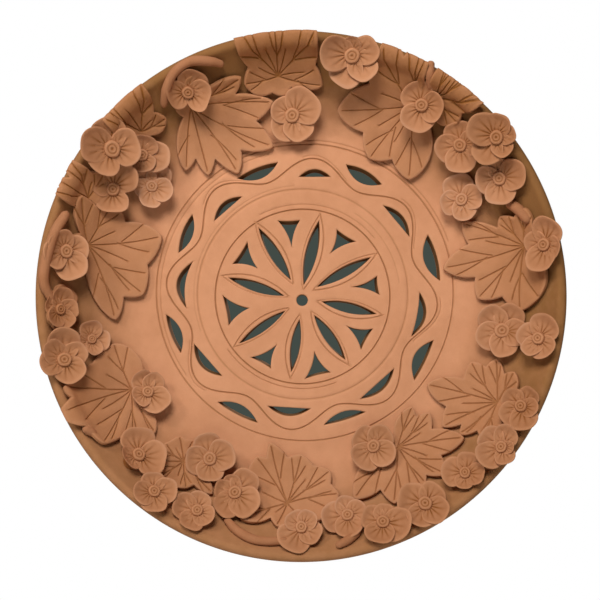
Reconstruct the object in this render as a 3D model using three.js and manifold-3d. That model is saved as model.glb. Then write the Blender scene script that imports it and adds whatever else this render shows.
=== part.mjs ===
// A pierced terracotta wall plate: a thrown dish with a fretwork floor, and hand-modelled flowers,
// leaves and stems luted round its wall. Millimetres, +Z up. The front faces -Y, and the wall that
// the plate hangs on is the plane y = 0. The origin is at the top of the foot ring's back face.
import * as THREE from 'three';
import { mergeVertices } from 'three/addons/utils/BufferGeometryUtils.js';
import Module from 'manifold-3d';

// The thrown dish. A depth is a distance in front of the wall.
const rimRadius = 200;
const wallThickness = 8.5;
const floorRadius = 116;
const floorBack = 12;
const floorFront = 21;
const wallSweep = THREE.MathUtils.degToRad(56);
const footInner = 70;
const footOuter = 82;
const roundSteps = 40;
const wallSteps = 5;

// The lip is half a turn of this radius, and the wall's section is an arc that runs up to it.
const lipRadius = wallThickness / 2;
const lipCentre = rimRadius - lipRadius;
const bowlRadius = (lipCentre - floorRadius) / Math.sin(wallSweep) - lipRadius;
const lipDepth = floorFront + bowlRadius - (bowlRadius + lipRadius) * Math.cos(wallSweep);
const wallEnd = floorRadius + bowlRadius * Math.sin(wallSweep);

// The fretwork. Each cut has two or three corners, [heading in degrees, distance from the axis] as seen
// from the front, in the order that keeps the cut on the left, and how far each side bows outwards.
const petalCuts = [
  { corners: [[42, 15.5], [32, 64]], bows: [4, 4] },
  { corners: [[84, 12], [78, 64]], bows: [4.7, 4.7] },
  { corners: [[119, 18], [121, 66.5]], bows: [4.3, 4.3] },
  { corners: [[166, 14.5], [163, 60.5]], bows: [4, 4] },
  { corners: [[212, 15.5], [214.5, 60]], bows: [3.5, 3.5] },
  { corners: [[262, 15], [261.5, 57]], bows: [3.8, 3.8] },
  { corners: [[309, 15], [306, 58]], bows: [4.2, 4.2] },
  { corners: [[356, 15.5], [349.5, 59.5]], bows: [4.2, 4.2] },
];
const hornBows = [-1.6, -0.6, -1.6];
const hornCuts = [
  [[15, 40], [4, 61], [18, 62]],
  [[59, 42.5], [47.5, 62.5], [64, 62]],
  [[101, 42.5], [91.5, 63], [107, 65.5]],
  [[144.5, 43], [133, 63], [152.5, 61.5]],
  [[188.5, 42], [176.5, 62.5], [199, 61]],
  [[240.5, 40], [228, 60.5], [245.5, 59]],
  [[283.5, 41.5], [272, 62], [291.5, 61]],
  [[330, 40.5], [320, 60.5], [338, 60]],
].map((corners) => ({ corners, bows: hornBows }));
const outerCuts = [
  { corners: [[27.5, 111.5], [8, 109.5]], bows: [8.3, 2.5] },
  { corners: [[72, 112], [55.5, 110.5]], bows: [7.1, 3.4] },
  { corners: [[118, 108.5], [100, 110]], bows: [7.1, 2.1] },
  { corners: [[159, 104], [142, 109.5]], bows: [5.9, 2.7] },
  { corners: [[203.5, 104], [186, 107.5]], bows: [6.5, 2] },
  { corners: [[250, 102.5], [230.5, 104]], bows: [6.6, 1.6] },
  { corners: [[299.5, 101], [280, 99.5]], bows: [5.6, 1.2] },
  { corners: [[343, 108], [324.5, 108.5]], bows: [8.6, 1.2] },
];
const innerCuts = [
  { corners: [[49.5, 98], [30.5, 98]], bows: [0, 6.4] },
  { corners: [[91.5, 97], [77, 99.5]], bows: [0, 6.1] },
  { corners: [[138, 93], [120, 94]], bows: [0, 6.3] },
  { corners: [[184, 91], [160.5, 91]], bows: [-3.7, 10.4] },
  { corners: [[223.5, 86.5], [202, 91.5]], bows: [0, 7.5] },
  { corners: [[274.5, 85.5], [252, 87.5]], bows: [0, 6.8] },
  { corners: [[323.5, 90], [300.5, 90]], bows: [0, 6.7] },
  { corners: [[364, 92.5], [341.5, 90.5]], bows: [-1.4, 8.4] },
];
const centreHole = 4.5;

// The modelled pieces. `at` is [heading in degrees, distance from the dish's axis], seen from the
// front. Petals and lobes are [heading, reach]. They are listed in the order they were laid on, so
// a later piece lies over an earlier one. Tilt is how far a flower turns towards the dish's axis.
const stems = [
  { along: [[126, 182], [122, 190], [117, 192], [111, 190]], thickness: 7 },
  { along: [[160, 190], [166, 193], [172, 194], [177, 194], [181, 190]], thickness: 8 },
  { along: [[25, 176], [22, 181], [18, 185]], thickness: 9 },
  { along: [[211, 193], [214, 189]], thickness: 8 },
  { along: [[251, 180], [255, 186], [260, 189], [267, 187]], thickness: 7 },
  { along: [[278, 192], [281, 189], [284, 185]], thickness: 7 },
  { along: [[61, 202], [60, 195], [58, 187]], thickness: 7 },
];
const leaves = [
  { at: [180, 184], lobes: [[265, 27], [350, 10], [95, 10], [175, 8]] },
  { at: [155, 181], lobes: [[60, 22], [105, 25], [150, 17], [180, 18], [300, 8]] },
  { at: [134, 178], lobes: [[35, 20], [74, 29], [156, 20], [300, 8]] },
  { at: [56, 184], lobes: [[20, 19], [65, 15], [200, 8], [315, 26], [345, 35]] },
  { at: [96, 173], lobes: [[2, 34], [45, 35], [88, 25], [140, 31], [185, 20], [300, 14]] },
  { at: [120, 172], lobes: [[5, 64], [55, 33], [200, 12], [264, 48], [284, 53], [306, 62], [335, 70]] },
  { at: [60, 172], lobes: [[20, 12], [88, 30], [124, 45], [181, 58], [229, 49], [268, 54]] },
  { at: [166, 171], lobes: [[8, 57], [62, 40], [95, 37], [150, 12], [240, 24], [289, 61], [318, 56]] },
  { at: [13, 177], lobes: [[30, 10], [92, 29], [126, 30], [156, 51], [194, 64], [229, 52], [267, 50]] },
  { at: [234, 157], lobes: [[0, 12], [67, 18], [101, 20], [152, 22], [212, 21], [277, 21], [312, 34]] },
  { at: [208, 151], lobes: [[112, 39], [178, 47], [200, 47], [246, 46], [272, 42], [298, 39], [350, 14]] },
  { at: [266, 160], lobes: [[10, 41], [37, 42], [74, 40], [106, 50], [124, 44], [197, 38], [245, 19]] },
  {
    at: [303, 138],
    lobes: [[8, 52], [47, 37], [71, 34], [150, 11], [230, 53], [266, 44], [300, 38], [330, 42]],
  },
  { at: [332, 172], lobes: [[60, 27], [89, 34], [121, 37], [165, 56], [205, 46], [222, 38], [250, 32]] },
];
const flowers = [
  { at: [138, 165], tilt: 20, lift: 6, petals: [[352, 21], [75, 15], [280, 13]] },
  { at: [150, 167], tilt: 10, lift: 6, petals: [[265, 18], [152, 15], [65, 22]] },
  { at: [143, 146], tilt: 10, lift: 5, petals: [[50, 19], [122, 15], [194, 14], [266, 17], [338, 17]] },
  { at: [119, 179], tilt: 30, lift: 8, petals: [[85, 18], [355, 17], [195, 18]] },
  { at: [142, 181], tilt: 22, lift: 11, petals: [[100, 24], [5, 21], [228, 21], [165, 25]] },
  { at: [169, 181], tilt: 24, lift: 9, petals: [[10, 17], [285, 22], [200, 18], [115, 16]] },
  { at: [93, 143], tilt: 10, lift: 6, petals: [[240, 21], [300, 21], [150, 17], [40, 23]] },
  { at: [78, 185], tilt: 20, lift: 10, petals: [[250, 24], [318, 22], [20, 21], [95, 14], [172, 24]] },
  { at: [58, 173], tilt: 20, lift: 9, petals: [[118, 18], [255, 20], [348, 17]] },
  { at: [44, 169], tilt: 20, lift: 6, petals: [[100, 18], [198, 19], [278, 21], [10, 16]] },
  { at: [31, 176], tilt: 20, lift: 7, petals: [[95, 15], [188, 18], [278, 20], [15, 21]] },
  { at: [39, 188], tilt: 20, lift: 12, petals: [[235, 22], [305, 16], [15, 15], [80, 18], [148, 23]] },
  { at: [32, 146], tilt: 8, lift: 6, petals: [[105, 20], [200, 17], [285, 17], [10, 16]] },
  { at: [12, 187], tilt: 38, lift: 9, petals: [[172, 16], [75, 21], [345, 15], [262, 20]] },
  { at: [351, 157], tilt: 12, lift: 5, petals: [[60, 22], [132, 22], [204, 21], [276, 21], [348, 20]] },
  { at: [350, 182], tilt: 33, lift: 11, petals: [[160, 17], [55, 19], [300, 17], [230, 15]] },
  { at: [334, 185], tilt: 24, lift: 9, petals: [[50, 16], [140, 16], [215, 18], [282, 20], [345, 14]] },
  { at: [313, 182], tilt: 24, lift: 8, petals: [[170, 18], [65, 16], [262, 13], [345, 16]] },
  { at: [323, 191], tilt: 24, lift: 10, petals: [[140, 19], [65, 17], [215, 20], [292, 17], [355, 14]] },
  { at: [296, 127], tilt: 4, lift: 6, petals: [[140, 18], [50, 18], [235, 20], [322, 19]] },
  { at: [282, 170], tilt: 20, lift: 7, petals: [[190, 20], [100, 15], [20, 15], [275, 18]] },
  { at: [290, 181], tilt: 22, lift: 10, petals: [[155, 17], [82, 14], [345, 22], [255, 18]] },
  { at: [301, 182], tilt: 20, lift: 10, petals: [[165, 21], [48, 17], [252, 19], [322, 20]] },
  { at: [270, 175], tilt: 22, lift: 9, petals: [[237, 21], [330, 17], [130, 14], [50, 14]] },
  { at: [183, 183], tilt: 42, lift: 8, petals: [[150, 13], [75, 17], [5, 15], [295, 15], [240, 15]] },
  { at: [191, 165], tilt: 30, lift: 6, petals: [[0, 15], [95, 14], [215, 12], [290, 13]] },
  { at: [195, 184], tilt: 20, lift: 12, petals: [[92, 24], [28, 18], [300, 19], [195, 19], [145, 18]] },
  { at: [211, 140], tilt: 20, lift: 7, petals: [[115, 17], [55, 16], [318, 19], [220, 13]] },
  { at: [233, 184], tilt: 24, lift: 9, petals: [[100, 15], [5, 17], [272, 17], [195, 16]] },
  { at: [224, 173], tilt: 38, lift: 9, petals: [[95, 21], [350, 21], [215, 14]] },
  { at: [240, 143], tilt: 8, lift: 6, petals: [[100, 20], [190, 19], [275, 18], [15, 20]] },
  { at: [244, 180], tilt: 22, lift: 8, petals: [[80, 15], [165, 19], [245, 17], [325, 14]] },
  { at: [251, 158], tilt: 12, lift: 8, petals: [[45, 21], [110, 14], [172, 16], [240, 21], [315, 22]] },
];

// Lobes fall from tip to notch by a power of the angle: 1 is a straight-sided point, over 2 is round.
const leafShape = { notch: 0.68, power: 1.45 };
const petalShape = { notch: 0.8, power: 2.4 };
const leafSeat = 0.7;
const leafThickness = 2.8;
const leafCurl = 1.6;
const lipRise = 0.35;
const veinDepth = 0.8;
const petalCup = 0.24;
const buttonRadius = 0.28;
const buttonHeight = 3.4;
const neckRadius = 0.5;
const footRadius = 0.38;
const throatThickness = 3;
const stemSides = 6;
const clearance = 0.5;

const terracotta = { dish: 0xd79b76, flower: 0xbf8058, leaf: 0xb57a50, stem: 0xb37b55 };
const plate = new THREE.Group();
plate.position.z = -(footInner + footOuter) / 2;
const wasm = await Module();
wasm.setup();

// The depth of the dish's front at a distance from its axis, and the slope of its wall there.
function frontAt(radius) {
  if (radius <= floorRadius) return { depth: floorFront, slope: 0 };
  if (radius <= wallEnd) {
    const slope = Math.asin((radius - floorRadius) / bowlRadius);
    return { depth: floorFront + bowlRadius * (1 - Math.cos(slope)), slope };
  }
  const slope = -Math.asin(Math.min((radius - lipCentre) / lipRadius, 0.7));
  return { depth: lipDepth + lipRadius * Math.cos(slope), slope };
}

// The point a height above the dish's front, over the plan position x, z.
function onDish(x, z, height) {
  const radius = Math.hypot(x, z);
  const { depth, slope } = frontAt(radius);
  const scale = (radius - height * Math.sin(slope)) / radius;
  return new THREE.Vector3(x * scale, -depth - height * Math.cos(slope), z * scale);
}

function planPoint([heading, radius]) {
  const angle = THREE.MathUtils.degToRad(heading);
  return [radius * Math.cos(angle), radius * Math.sin(angle)];
}

// A closed body from rings of points: the first and last are single points, and a ring has as many
// points as its neighbour, or twice or half as many. Rings that grow and rings that shrink are
// split along the same diagonals, so a thin body's two faces don't cross.
function ringSolid(rings) {
  const starts = [];
  const points = [];
  for (const ring of rings) {
    starts.push(points.length);
    points.push(...ring);
  }
  const faces = [];
  for (let level = 0; level + 1 < rings.length; level += 1) {
    const near = rings[level].length;
    const far = rings[level + 1].length;
    const most = Math.max(near, far);
    const nearAt = (i) => starts[level] + (Math.ceil((i * near) / most) % near);
    const farAt = (i) => starts[level + 1] + (Math.ceil((i * far) / most) % far);
    for (let i = 0; i < most; i += 1) {
      const [a, b, c, d] = [nearAt(i), nearAt(i + 1), farAt(i), farAt(i + 1)];
      const outwards = near <= far;
      if (a !== b) faces.push(a, b, outwards ? d : c);
      if (c !== d) faces.push(outwards ? a : b, d, c);
    }
  }
  const geometry = new THREE.BufferGeometry().setFromPoints(points);
  geometry.setIndex(faces);
  return signedVolume(geometry) < 0 ? turned(geometry) : geometry;
}

function signedVolume(geometry) {
  const [a, b, c] = [new THREE.Vector3(), new THREE.Vector3(), new THREE.Vector3()];
  const { position } = geometry.attributes;
  const index = geometry.index.array;
  let volume = 0;
  for (let i = 0; i < index.length; i += 3) {
    a.fromBufferAttribute(position, index[i]);
    b.fromBufferAttribute(position, index[i + 1]);
    c.fromBufferAttribute(position, index[i + 2]);
    volume += a.dot(b.cross(c)) / 6;
  }
  return volume;
}

function turned(geometry) {
  const index = Array.from(geometry.index.array);
  for (let i = 0; i < index.length; i += 3) [index[i + 1], index[i + 2]] = [index[i + 2], index[i + 1]];
  geometry.setIndex(index);
  return geometry;
}

function welded(geometry) {
  const bare = geometry.clone();
  bare.deleteAttribute('normal');
  bare.deleteAttribute('uv');
  return mergeVertices(bare, 1e-4);
}

function solidOf(geometry) {
  const mesh = welded(geometry);
  return new wasm.Manifold(new wasm.Mesh({
    numProp: 3,
    vertProperties: new Float32Array(mesh.attributes.position.array),
    triVerts: new Uint32Array(mesh.index.array),
  }));
}

function geometryOf(solid) {
  const mesh = solid.getMesh();
  const geometry = new THREE.BufferGeometry();
  geometry.setAttribute('position', new THREE.BufferAttribute(mesh.vertProperties, 3));
  geometry.setIndex(new THREE.BufferAttribute(mesh.triVerts, 1));
  return geometry;
}

// The front of the dish as [distance from the axis, y], from the middle of the floor to the lip.
function frontProfile(gap) {
  const profile = [[0, -floorFront - gap], [floorRadius, -floorFront - gap]];
  for (let i = 1; i <= wallSteps; i += 1) {
    const slope = (wallSweep * i) / wallSteps;
    const reach = bowlRadius - gap;
    profile.push([floorRadius + reach * Math.sin(slope), -floorFront - bowlRadius + reach * Math.cos(slope)]);
  }
  for (const turn of [0, -40, -90]) {
    const slope = THREE.MathUtils.degToRad(turn);
    const reach = lipRadius + gap;
    profile.push([lipCentre - reach * Math.sin(slope), -lipDepth - reach * Math.cos(slope)]);
  }
  return profile;
}

function latheOf(profile) {
  const points = profile.map(([radius, y]) => new THREE.Vector2(radius, y));
  const geometry = welded(new THREE.LatheGeometry(points, roundSteps));
  return signedVolume(geometry) < 0 ? turned(geometry) : geometry;
}

// Everything behind the front of the dish, to seat the modelled pieces on it.
function behindFront(gap) {
  const front = frontProfile(gap);
  const deep = 60;
  return latheOf([...front, [front.at(-1)[0], deep], [0, deep]]);
}

function dishBlank() {
  const outside = [];
  for (let i = wallSteps - 1; i >= 1; i -= 1) {
    const slope = (wallSweep * i) / wallSteps;
    const reach = bowlRadius + wallThickness;
    const radius = floorRadius + reach * Math.sin(slope);
    const y = -floorFront - bowlRadius + reach * Math.cos(slope);
    if (radius < rimRadius - lipRadius) outside.push([radius, y]);
  }
  const floor = [[floorRadius, -floorBack], [footOuter + 2, -floorBack]];
  const foot = [[footOuter, 0], [footInner, 0], [footInner - 2, -floorBack]];
  return latheOf([...frontProfile(0), ...outside, ...floor, ...foot, [0, -floorBack]]);
}

// A cut through the floor, from an outline in plan. The outline's y becomes the plate's Z.
function floorCut(shape, steps) {
  const deep = floorFront * 2;
  const along = { depth: deep, bevelEnabled: false, curveSegments: steps };
  const geometry = new THREE.ExtrudeGeometry(shape, along);
  geometry.translate(0, 0, -deep / 4);
  geometry.rotateX(Math.PI / 2);
  return solidOf(geometry);
}

// A cut between corners, each side a parabola that bows outwards by its own amount at its middle.
function bowedCut({ corners, bows }, steps) {
  const points = corners.map(planPoint);
  const shape = new THREE.Shape();
  shape.moveTo(...points[0]);
  points.forEach(([x, z], i) => {
    const [endX, endZ] = points[(i + 1) % points.length];
    const pull = (2 * bows[i]) / Math.hypot(endX - x, endZ - z);
    const middleX = (x + endX) / 2 + pull * (endZ - z);
    const middleZ = (z + endZ) / 2 - pull * (endX - x);
    shape.quadraticCurveTo(middleX, middleZ, endX, endZ);
  });
  return floorCut(shape, steps);
}

function dishGeometry() {
  const cuts = [
    floorCut(new THREE.Shape().absarc(0, 0, centreHole, 0, 2 * Math.PI), 10),
    ...petalCuts.map((cut) => bowedCut(cut, 4)),
    ...hornCuts.map((cut) => bowedCut(cut, 3)),
    ...outerCuts.map((cut) => bowedCut(cut, 4)),
    ...innerCuts.map((cut) => bowedCut(cut, 4)),
  ];
  return geometryOf(cuts.reduce((dish, cut) => dish.subtract(cut), solidOf(dishBlank())));
}

// The outline of a leaf or flower, four points to a lobe: notch, shoulder, tip, shoulder.
function lobedOutline(lobes, { notch, power }) {
  const sorted = [...lobes].sort((a, b) => a[0] - b[0]);
  const outline = [];
  sorted.forEach(([heading, reach], i) => {
    const before = sorted[(i + sorted.length - 1) % sorted.length];
    const after = sorted[(i + 1) % sorted.length];
    const back = ((heading - before[0] + 360) % 360) / 2;
    const ahead = ((after[0] - heading + 360) % 360) / 2;
    const low = notch * Math.min(reach, before[1]);
    const high = notch * Math.min(reach, after[1]);
    outline.push([heading - back, low]);
    outline.push([heading - back / 2, reach - (reach - low) * 0.5 ** power]);
    outline.push([heading, reach]);
    outline.push([heading + ahead / 2, reach - (reach - high) * 0.5 ** power]);
  });
  return outline;
}

// A piece's body, and with a positive `grow` the same body that much bigger all round, which cuts
// room for it in what lies under it.
function leafGeometry({ at, lobes }, grow = 0) {
  const [x0, z0] = planPoint(at);
  const outline = lobedOutline(lobes, leafShape);
  const place = ([heading, reach], part, height) => {
    const [dx, dz] = planPoint([heading, (reach + grow) * part]);
    const [x, z] = [x0 + dx, z0 + dz];
    const overLip = lipRise * Math.max(0, Math.hypot(x, z) - wallEnd + lipRadius);
    return onDish(x, z, leafSeat + leafCurl * part * part + overLip + height);
  };
  const veined = (part, height) => outline
    .filter((point, i) => i % 2 === 0)
    .map((point, i) => place(point, part, i % 2 === 1 ? height - veinDepth : height));
  return ringSolid([
    [onDish(x0, z0, leafSeat + leafThickness + grow)],
    veined(0.5, leafThickness + 0.3 + grow),
    outline.map((point) => place(point, 1, leafThickness * 0.8 + grow)),
    outline.map((point) => place(point, 1, -grow)),
    veined(0.5, 0.8 - grow),
    [onDish(x0, z0, leafSeat - grow)],
  ]);
}

function flowerGeometry({ at, tilt, lift, petals }, grow = 0) {
  const size = petals.reduce((sum, [, reach]) => sum + reach, 0) / petals.length;
  const [x0, z0] = planPoint(at);
  const { depth } = frontAt(at[1]);
  const centre = new THREE.Vector3(x0, -depth - lift, z0);
  const lean = THREE.MathUtils.degToRad(tilt);
  const inward = new THREE.Vector3(-x0, 0, -z0).normalize();
  const facing = inward.multiplyScalar(Math.sin(lean)).add(new THREE.Vector3(0, -Math.cos(lean), 0));
  const across = new THREE.Vector3(1, 0, 0).addScaledVector(facing, -facing.x).normalize();
  const up = new THREE.Vector3().crossVectors(facing, across);
  const place = (heading, reach, height) => {
    const [x, z] = planPoint([heading, reach]);
    return centre.clone().addScaledVector(across, x).addScaledVector(up, z).addScaledVector(facing, height);
  };
  const outline = lobedOutline(petals, petalShape);
  const half = outline.filter((point, i) => i % 2 === 0);
  const ring = (reach, height) => half.map(([heading]) => place(heading, reach + grow, height));
  const rim = (extra) => outline.map(([heading, reach]) => (
    place(heading, reach + grow, petalCup * size * (reach / size) ** 2 + extra)));
  const footAt = planPoint([at[0], Math.min(at[1] + lift * Math.sin(lean), wallEnd - size * footRadius)]);
  const foot = half.map(([heading]) => {
    const [x, z] = planPoint([heading, size * footRadius + grow]);
    return onDish(footAt[0] + x, footAt[1] + z, -3);
  });
  return ringSolid([
    [place(0, 0, buttonHeight + grow)],
    ring(size * buttonRadius, buttonHeight + grow),
    ring(size * buttonRadius, grow),
    rim(grow),
    ...(grow > 0 ? [rim(-grow)] : []),
    ring(size * neckRadius, -throatThickness),
    foot,
    [onDish(...footAt, -3)],
  ]);
}

function stemGeometry({ along, thickness }, grow = 0) {
  const seated = along.map((point) => onDish(...planPoint(point), thickness / 2 + clearance));
  const line = new THREE.CatmullRomCurve3(seated);
  const steps = along.length;
  const rings = [[line.getPointAt(0)]];
  for (let i = 0; i <= steps; i += 1) {
    const middle = line.getPointAt(i / steps);
    const ahead = line.getTangentAt(i / steps);
    const out = new THREE.Vector3(0, -1, 0).addScaledVector(ahead, ahead.y).normalize();
    const side = new THREE.Vector3().crossVectors(ahead, out);
    const size = grow + (thickness / 2) * (i === 0 || i === steps ? 0.7 : 1);
    const ring = [];
    for (let j = 0; j < stemSides; j += 1) {
      const angle = (2 * Math.PI * j) / stemSides;
      ring.push(middle.clone()
        .addScaledVector(out, size * Math.cos(angle))
        .addScaledVector(side, size * Math.sin(angle)));
    }
    rings.push(ring);
  }
  rings.push([line.getPointAt(1)]);
  return ringSolid(rings);
}

function addPiece(name, geometry, color) {
  const material = new THREE.MeshStandardMaterial({ color, roughness: 0.9, metalness: 0 });
  const mesh = new THREE.Mesh(geometry, material);
  mesh.name = name;
  plate.add(mesh);
}

function numbered(kind, list, make) {
  return list.map((spec, i) => ({
    kind,
    name: `${kind}_${String(i + 1).padStart(2, '0')}`,
    solid: solidOf(make(spec)),
    room: solidOf(make(spec, clearance)),
  }));
}

function largestPart(solid) {
  return solid.decompose().reduce((best, part) => (part.volume() > best.volume() ? part : best));
}

// Each modelled piece is seated on the dish and gives way to every piece laid on after it.
const laid = [
  ...numbered('stem', stems, stemGeometry),
  ...numbered('leaf', leaves, leafGeometry),
  ...numbered('flower', flowers, flowerGeometry),
];
const seat = solidOf(behindFront(clearance));
addPiece('dish', dishGeometry(), terracotta.dish);
laid.forEach(({ kind, name, solid }, i) => {
  const rest = laid.slice(i + 1).reduce((part, { room }) => part.subtract(room), solid.subtract(seat));
  addPiece(name, geometryOf(largestPart(rest)), terracotta[kind]);
});

const model = new THREE.Group();
model.add(plate);
export default model;
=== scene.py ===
"""A pierced terracotta wall plaque, put together in the order it was made: the thrown and cut dish,
the rolled stems, the cut leaves and the pinched flowers luted round its wall, then the light."""

import bmesh
import bpy
import numpy as np
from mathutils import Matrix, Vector
from mathutils.geometry import delaunay_2d_cdt


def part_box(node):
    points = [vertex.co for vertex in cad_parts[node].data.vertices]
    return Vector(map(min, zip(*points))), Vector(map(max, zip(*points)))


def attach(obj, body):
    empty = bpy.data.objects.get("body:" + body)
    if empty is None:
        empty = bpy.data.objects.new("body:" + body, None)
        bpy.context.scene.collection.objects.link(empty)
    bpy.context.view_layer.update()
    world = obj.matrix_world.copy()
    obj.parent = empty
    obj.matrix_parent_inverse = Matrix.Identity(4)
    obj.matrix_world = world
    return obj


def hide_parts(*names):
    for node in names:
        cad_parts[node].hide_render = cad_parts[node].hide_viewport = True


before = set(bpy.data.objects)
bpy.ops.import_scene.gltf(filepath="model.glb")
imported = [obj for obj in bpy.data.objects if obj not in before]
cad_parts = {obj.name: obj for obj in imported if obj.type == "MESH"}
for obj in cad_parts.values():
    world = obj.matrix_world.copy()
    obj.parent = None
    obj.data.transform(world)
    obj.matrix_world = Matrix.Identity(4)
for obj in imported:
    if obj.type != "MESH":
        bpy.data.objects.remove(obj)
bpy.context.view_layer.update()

# ---------------------------------------------------------------------------------------------
# The camera, 0.96 m from the wall that the plaque hangs on and a little below the plaque's middle. It
# looks straight at that wall, and its shift brings the plaque to the middle of the frame.
lens = bpy.data.cameras.new("front_view")
lens.angle = np.radians(28.2)
camera = bpy.data.objects.new("front_view", lens)
lens.shift_x, lens.shift_y = -0.0417, 0.1382
camera.location = (0.018, -0.959, -0.141)
camera.rotation_euler = (np.pi / 2, 0, 0)
bpy.context.scene.collection.objects.link(camera)
bpy.context.scene.camera = camera

# ---------------------------------------------------------------------------------------------
# The dish. Wheel-thrown terracotta: a flat floor, a thick wall curving up to a round lip, and a
# turned foot ring behind. The floor was pierced with a knife when leather-hard, its edges eased,
# and its circles, petals and wave incised with a compass and a pointed tool.
dish_low, dish_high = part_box("dish")
lip_across = 400.0
mm = (dish_high[0] - dish_low[0]) / lip_across
axis_height = (dish_low[2] + dish_high[2]) / 2
floor_radius = 116.0
floor_front = 21.0
floor_back = 12.0
lip_radius = 4.25
lip_centre = lip_across / 2 - lip_radius
wall_sweep = np.radians(56)
bowl_radius = (lip_centre - floor_radius) / np.sin(wall_sweep) - lip_radius
lip_depth = floor_front + bowl_radius - (bowl_radius + lip_radius) * np.cos(wall_sweep)
wall_end = floor_radius + bowl_radius * np.sin(wall_sweep)


def at(heading, distance):
    """Plan position in mm: heading in degrees from the right, anticlockwise seen from the front."""
    turn = np.radians(np.asarray(heading, float))
    return np.stack([distance * np.cos(turn), distance * np.sin(turn)], axis=-1)


def dish_front(radius):
    """Depth and slope of the dish's front: flat floor, then the bowl's arc, then the lip's half turn."""
    on_wall = np.arcsin(np.clip((radius - floor_radius) / bowl_radius, 0, np.sin(wall_sweep)))
    on_lip = -np.arcsin(np.clip((radius - lip_centre) / lip_radius, -1, 0.7))
    before_lip = radius <= wall_end
    wall_depth = floor_front + bowl_radius * (1 - np.cos(on_wall))
    depth = np.where(before_lip, wall_depth, lip_depth + lip_radius * np.cos(on_lip))
    return depth, np.where(before_lip, on_wall, on_lip)


def on_dish(plan, height):
    """Points a height above the dish's front, square to it, over plan positions. x right, y back, z up."""
    radius = np.maximum(np.hypot(plan[..., 0], plan[..., 1]), 1e-6)
    depth, slope = dish_front(radius)
    scale = 1 - height * np.sin(slope) / radius
    return np.stack([plan[..., 0] * scale, -depth - height * np.cos(slope), plan[..., 1] * scale], axis=-1)


def bowed(corners, bows, step=1.1):
    """Closed outline through corners: each side is a parabola that bows outwards by its bow halfway."""
    corners = [at(*corner) for corner in corners]
    sides = []
    for i, (start, bow) in enumerate(zip(corners, bows)):
        end = corners[(i + 1) % len(corners)]
        along = end - start
        length = np.hypot(*along)
        t = np.linspace(0, 1, max(4, int(length / step)), endpoint=False)[:, None]
        outward = np.array([along[1], -along[0]]) / length
        sides.append(start + along * t + outward * bow * 4 * t * (1 - t))
    return np.concatenate(sides)


def ring(radius, middle=(0, 0), step=1.1, start=0, end=360):
    """Points along a circle or an arc of it, seen from the front."""
    count = int(np.radians(end - start) * radius / step)
    return np.array(middle) + at(np.linspace(start, end, count, endpoint=False), radius)


def nearest(points, line):
    """Distance from each point to the nearest point of a line, both in plan. Points more than 3 mm
    outside the line's box count as far away. The work is cut into parts to keep its arrays small."""
    found = np.full(len(points), 99.0)
    low, high = line.min(0) - 3, line.max(0) + 3
    near = np.flatnonzero(((points > low) & (points < high)).all(1))
    for part in np.array_split(near, max(1, len(near) * len(line) // 4_000_000)):
        gap = points[part, None, :] - line[None, :, :]
        found[part] = np.sqrt((gap**2).sum(-1).min(1))
    return found


def inside(points, outline):
    """Whether each point is inside a closed outline, by counting the sides that a ray crosses."""
    within = np.zeros(len(points), bool)
    near = np.flatnonzero(((points > outline.min(0)) & (points < outline.max(0))).all(1))
    x, z = points[near, 0][:, None], points[near, 1][:, None]
    x0, z0 = outline[:, 0], outline[:, 1]
    x1, z1 = np.roll(x0, -1), np.roll(z0, -1)
    crosses = ((z0 > z) != (z1 > z)) & (x < x0 + (x1 - x0) * (z - z0) / np.where(z1 == z0, 1, z1 - z0))
    within[near] = crosses.sum(1) % 2 == 1
    return within


def beside(line, offset, closed):
    """The line moved sideways by an offset, to its right."""
    if closed:
        along = np.roll(line, -1, 0) - np.roll(line, 1, 0)
    else:
        along = np.gradient(line, axis=0)
    along /= np.maximum(np.hypot(along[:, 0], along[:, 1]), 1e-9)[:, None]
    return line + offset * np.stack([along[:, 1], -along[:, 0]], -1)


def in_sheet(points, outline, holes):
    """Whether each point is inside the outline and outside all its holes."""
    within = inside(points, outline)
    for hole in holes:
        within &= ~inside(points, hole)
    return within


def sheet_points(outline, holes, lines, spacing, edge_rows):
    """Points to fill a sheet: rows along its edges and its incised lines, and a staggered field at an
    even spacing between them, with no two in one cell of 0.3 mm."""
    loops = [outline, *holes]
    rows = [np.zeros((0, 2))]
    for line, half_width, closed in lines:
        rows += [beside(line, offset * half_width, closed) for offset in (0, -0.5, 0.5, -1, 1)]
    for loop in loops:
        inward = -1 if loop is outline else 1
        rows += [beside(loop, inward * row, True) for row in edge_rows]
    rows = np.concatenate(rows)
    row_gap = np.min([nearest(rows, loop) for loop in loops], axis=0)
    rows = rows[row_gap > 0.9 * min(edge_rows, default=0.5)]
    low, high = outline.min(0), outline.max(0)
    columns, layers = np.meshgrid(
        np.arange(low[0], high[0], spacing), np.arange(low[1], high[1], spacing * 0.87), indexing="ij"
    )
    columns = columns + spacing / 2 * (np.arange(columns.shape[1]) % 2)
    field = np.stack([columns.ravel(), layers.ravel()], -1)
    edge_gap = np.min([nearest(field, loop) for loop in loops], axis=0)
    keep = edge_gap > max(edge_rows, default=0) + 0.55 * spacing
    for line, half_width, _ in lines:
        keep &= nearest(field, line) > half_width + 0.5 * spacing
    loose = np.concatenate([rows, field[keep]])
    loose = loose[in_sheet(loose, outline, holes)]
    cell = np.round(loose / 0.3).astype(int)
    return loose[np.sort(np.unique(cell, axis=0, return_index=True)[1])]


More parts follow.
